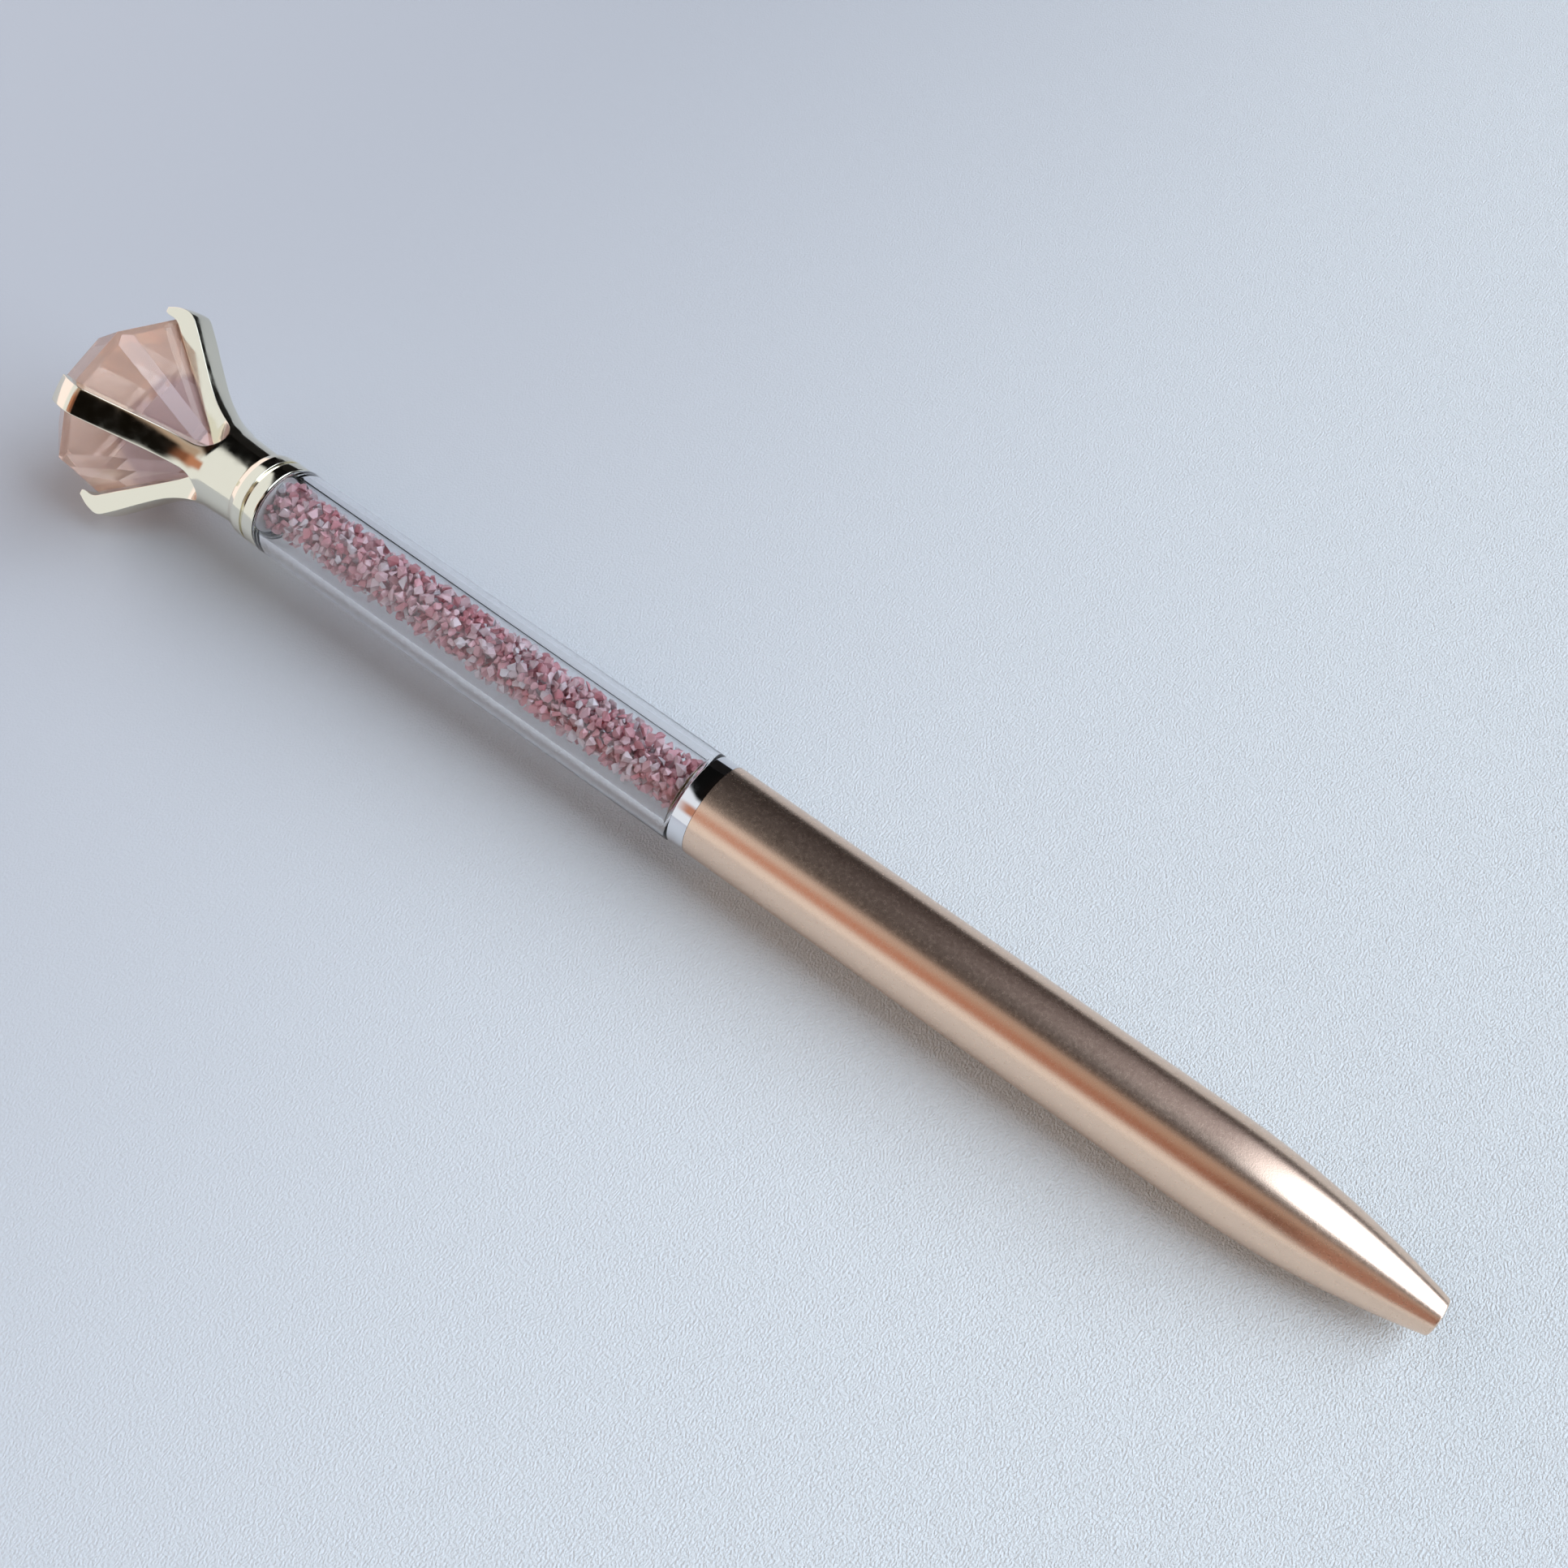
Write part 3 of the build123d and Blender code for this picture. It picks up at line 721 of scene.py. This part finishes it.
def floor_material():
    """Pale blue-grey sheet with painted shade that darkens it towards the crown's end, where its fine leather
    grain is also smoother.
    """
    # The crown's end colour is painted shade: the floor is drawn darker there, and lighter across the range
    # towards the nose.
    shaded_crown_end, nose_end = (0.51, 0.53, 0.555), (0.80, 0.84, 0.83)
    material, tree, shader = new_material("floor", nose_end, 0.5)
    noseward = soft_step(tree, place_along(tree), *FLOOR_SHADE_AND_GRAIN_X)
    tree.links.new(layered(tree, shaded_crown_end, nose_end, noseward), shader.inputs["Base Color"])
    grain = noise(tree, size_mm=0.17, squeeze=(1, 0.7, 1))
    depth = calc(tree, "MULTIPLY_ADD", noseward, 0.8, 0.05)
    tree.links.new(bump(tree, grain, distance_mm=0.4, strength=depth), shader.inputs["Normal"])
    return material


def make_sheet(name, corners, material):
    """A flat four-cornered object."""
    data = bpy.data.meshes.new(name)
    data.from_pydata(corners, [], [(0, 1, 2, 3)])
    data.materials.append(material)
    return add_object(name, data)


def make_floor():
    """The sheet that the pen lies on."""
    corners = [(x * FLOOR_HALF, y * FLOOR_HALF, cad_low.z) for x, y in ((-1, -1), (1, -1), (1, 1), (-1, 1))]
    floor = make_sheet("floor", corners, floor_material())


def between(tree, value, low, high, blur):
    """1 between low and high, 0 outside, with soft ends."""
    rise = soft_step(tree, value, low - blur, low + blur)
    fall = soft_step(tree, value, high - blur, high + blur)
    return calc(tree, "SUBTRACT", rise, fall)


def patch(tree, room, color, along, over):
    """The room with a soft-edged patch of colour where both shares are 1."""
    return layered(tree, room, color, calc(tree, "MULTIPLY", along, over))


def make_world():
    """A room: pale towards the crown, warm on the near side, dark on the far side, a window off the nose.

    Its places are in degrees: noseward from straight across the pen, lean from overhead to the near side.
    """
    world = bpy.data.worlds.new("room")
    bpy.context.scene.world = world
    world.use_nodes = True
    tree = world.node_tree
    direction = add(tree, "ShaderNodeTexCoord").outputs["Generated"]
    parts = add(tree, "ShaderNodeSeparateXYZ", {"Vector": direction}).outputs
    degrees = 180 / math.pi
    toward_near = calc(tree, "MULTIPLY", parts["Y"], -1)
    lean = calc(tree, "MULTIPLY", calc(tree, "ARCTAN2", toward_near, parts["Z"]), degrees)
    noseward = calc(tree, "MULTIPLY", calc(tree, "ARCSINE", parts["X"]), degrees)

    dark_edge = add(tree, "ShaderNodeMapRange", {
        "Value": noseward, "From Min": -34.0, "From Max": -17.0, "To Min": -36.0, "To Max": 26.0,
    }).outputs["Result"]
    past_edge = calc(tree, "SUBTRACT", lean, dark_edge)
    far_wall = layered(tree, (0.004, 0.004, 0.004), (0.02, 0.01, 0.007), soft_step(tree, noseward, -18, -8))
    room = layered(tree, far_wall, (0.86, 0.89, 0.93), soft_step(tree, past_edge, -6, 6))
    rear_wall = soft_step(tree, noseward, -38, -50)
    room = layered(tree, room, (1.2, 1.05, 1.08), rear_wall)

    warm_wall = (0.46, 0.34, 0.27)
    room = patch(tree, room, warm_wall, soft_step(tree, noseward, -15, -9), between(tree, lean, 24, 68, 9))
    shelf = layered(tree, (0.52, 0.23, 0.14), (0.24, 0.095, 0.055), between(tree, noseward, -2, 18, 8))
    room = patch(tree, room, shelf, soft_step(tree, noseward, -24, -18), between(tree, lean, 44, 66, 6))
    photographer = (0.005, 0.004, 0.003)
    figure_width = between(tree, noseward, 15, 72, 6)
    room = patch(tree, room, photographer, figure_width, between(tree, lean, 38, 78, 5))

    glow = (0.40, 0.35, 0.40)
    room = patch(tree, room, glow, soft_step(tree, noseward, -8, 14), between(tree, lean, -66, -14, 14))
    window = (3.8, 4.3, 5.0)
    room = patch(tree, room, window, soft_step(tree, noseward, 6, 22), between(tree, lean, -66, 2, 6))

    below = soft_step(tree, calc(tree, "MULTIPLY", parts["Z"], -1), -0.01, 0.01)
    room = layered(tree, room, (0.55, 0.59, 0.65), below)
    tree.links.new(room, tree.nodes["Background"].inputs["Color"])


def make_card(name, corners, color):
    """A card that the camera doesn't see and the metal mirrors."""
    card = make_sheet(name, corners, new_material(name, color, 1.0)[0])
    card.visible_camera = False
    card.visible_diffuse = False
    card.visible_shadow = False


def make_cards():
    """A dark edge beyond the far side of the head, and warm cloth beside the nose."""
    left, right = FAR_EDGE_X
    make_card("far_edge", [
        (left, FAR_EDGE_Y, cad_low.z), (right, FAR_EDGE_Y, cad_low.z),
        (right, FAR_EDGE_Y, FAR_EDGE_HEIGHT), (left, FAR_EDGE_Y, FAR_EDGE_HEIGHT),
    ], (0.004, 0.003, 0.002))
    left, right = CLOTH_X
    top, bottom = [
        (-CLOTH_DISTANCE * math.sin(lean), CLOTH_DISTANCE * math.cos(lean)) for lean in CLOTH_LEAN
    ]
    make_card("cloth", [(left, *bottom), (right, *bottom), (right, *top), (left, *top)], (0.60, 0.30, 0.20))


def make_camera():
    """The camera above the pen's near side."""
    data = bpy.data.cameras.new("camera")
    data.lens = CAMERA_LENS
    data.clip_start = 0.01
    camera = add_object("camera", data)
    camera.location = CAMERA_PLACE
    camera.rotation_mode = "QUATERNION"
    level = (CAMERA_TARGET - CAMERA_PLACE).to_track_quat("-Z", "Y")
    camera.rotation_quaternion = level @ Quaternion((0, 0, 1), CAMERA_ROLL)
    bpy.context.scene.camera = camera


make_floor()
make_world()
make_cards()
make_camera()
bpy.context.scene.view_settings.view_transform = "Standard"
bpy.context.scene.cycles.max_bounces = 24
bpy.context.scene.cycles.transmission_bounces = 24
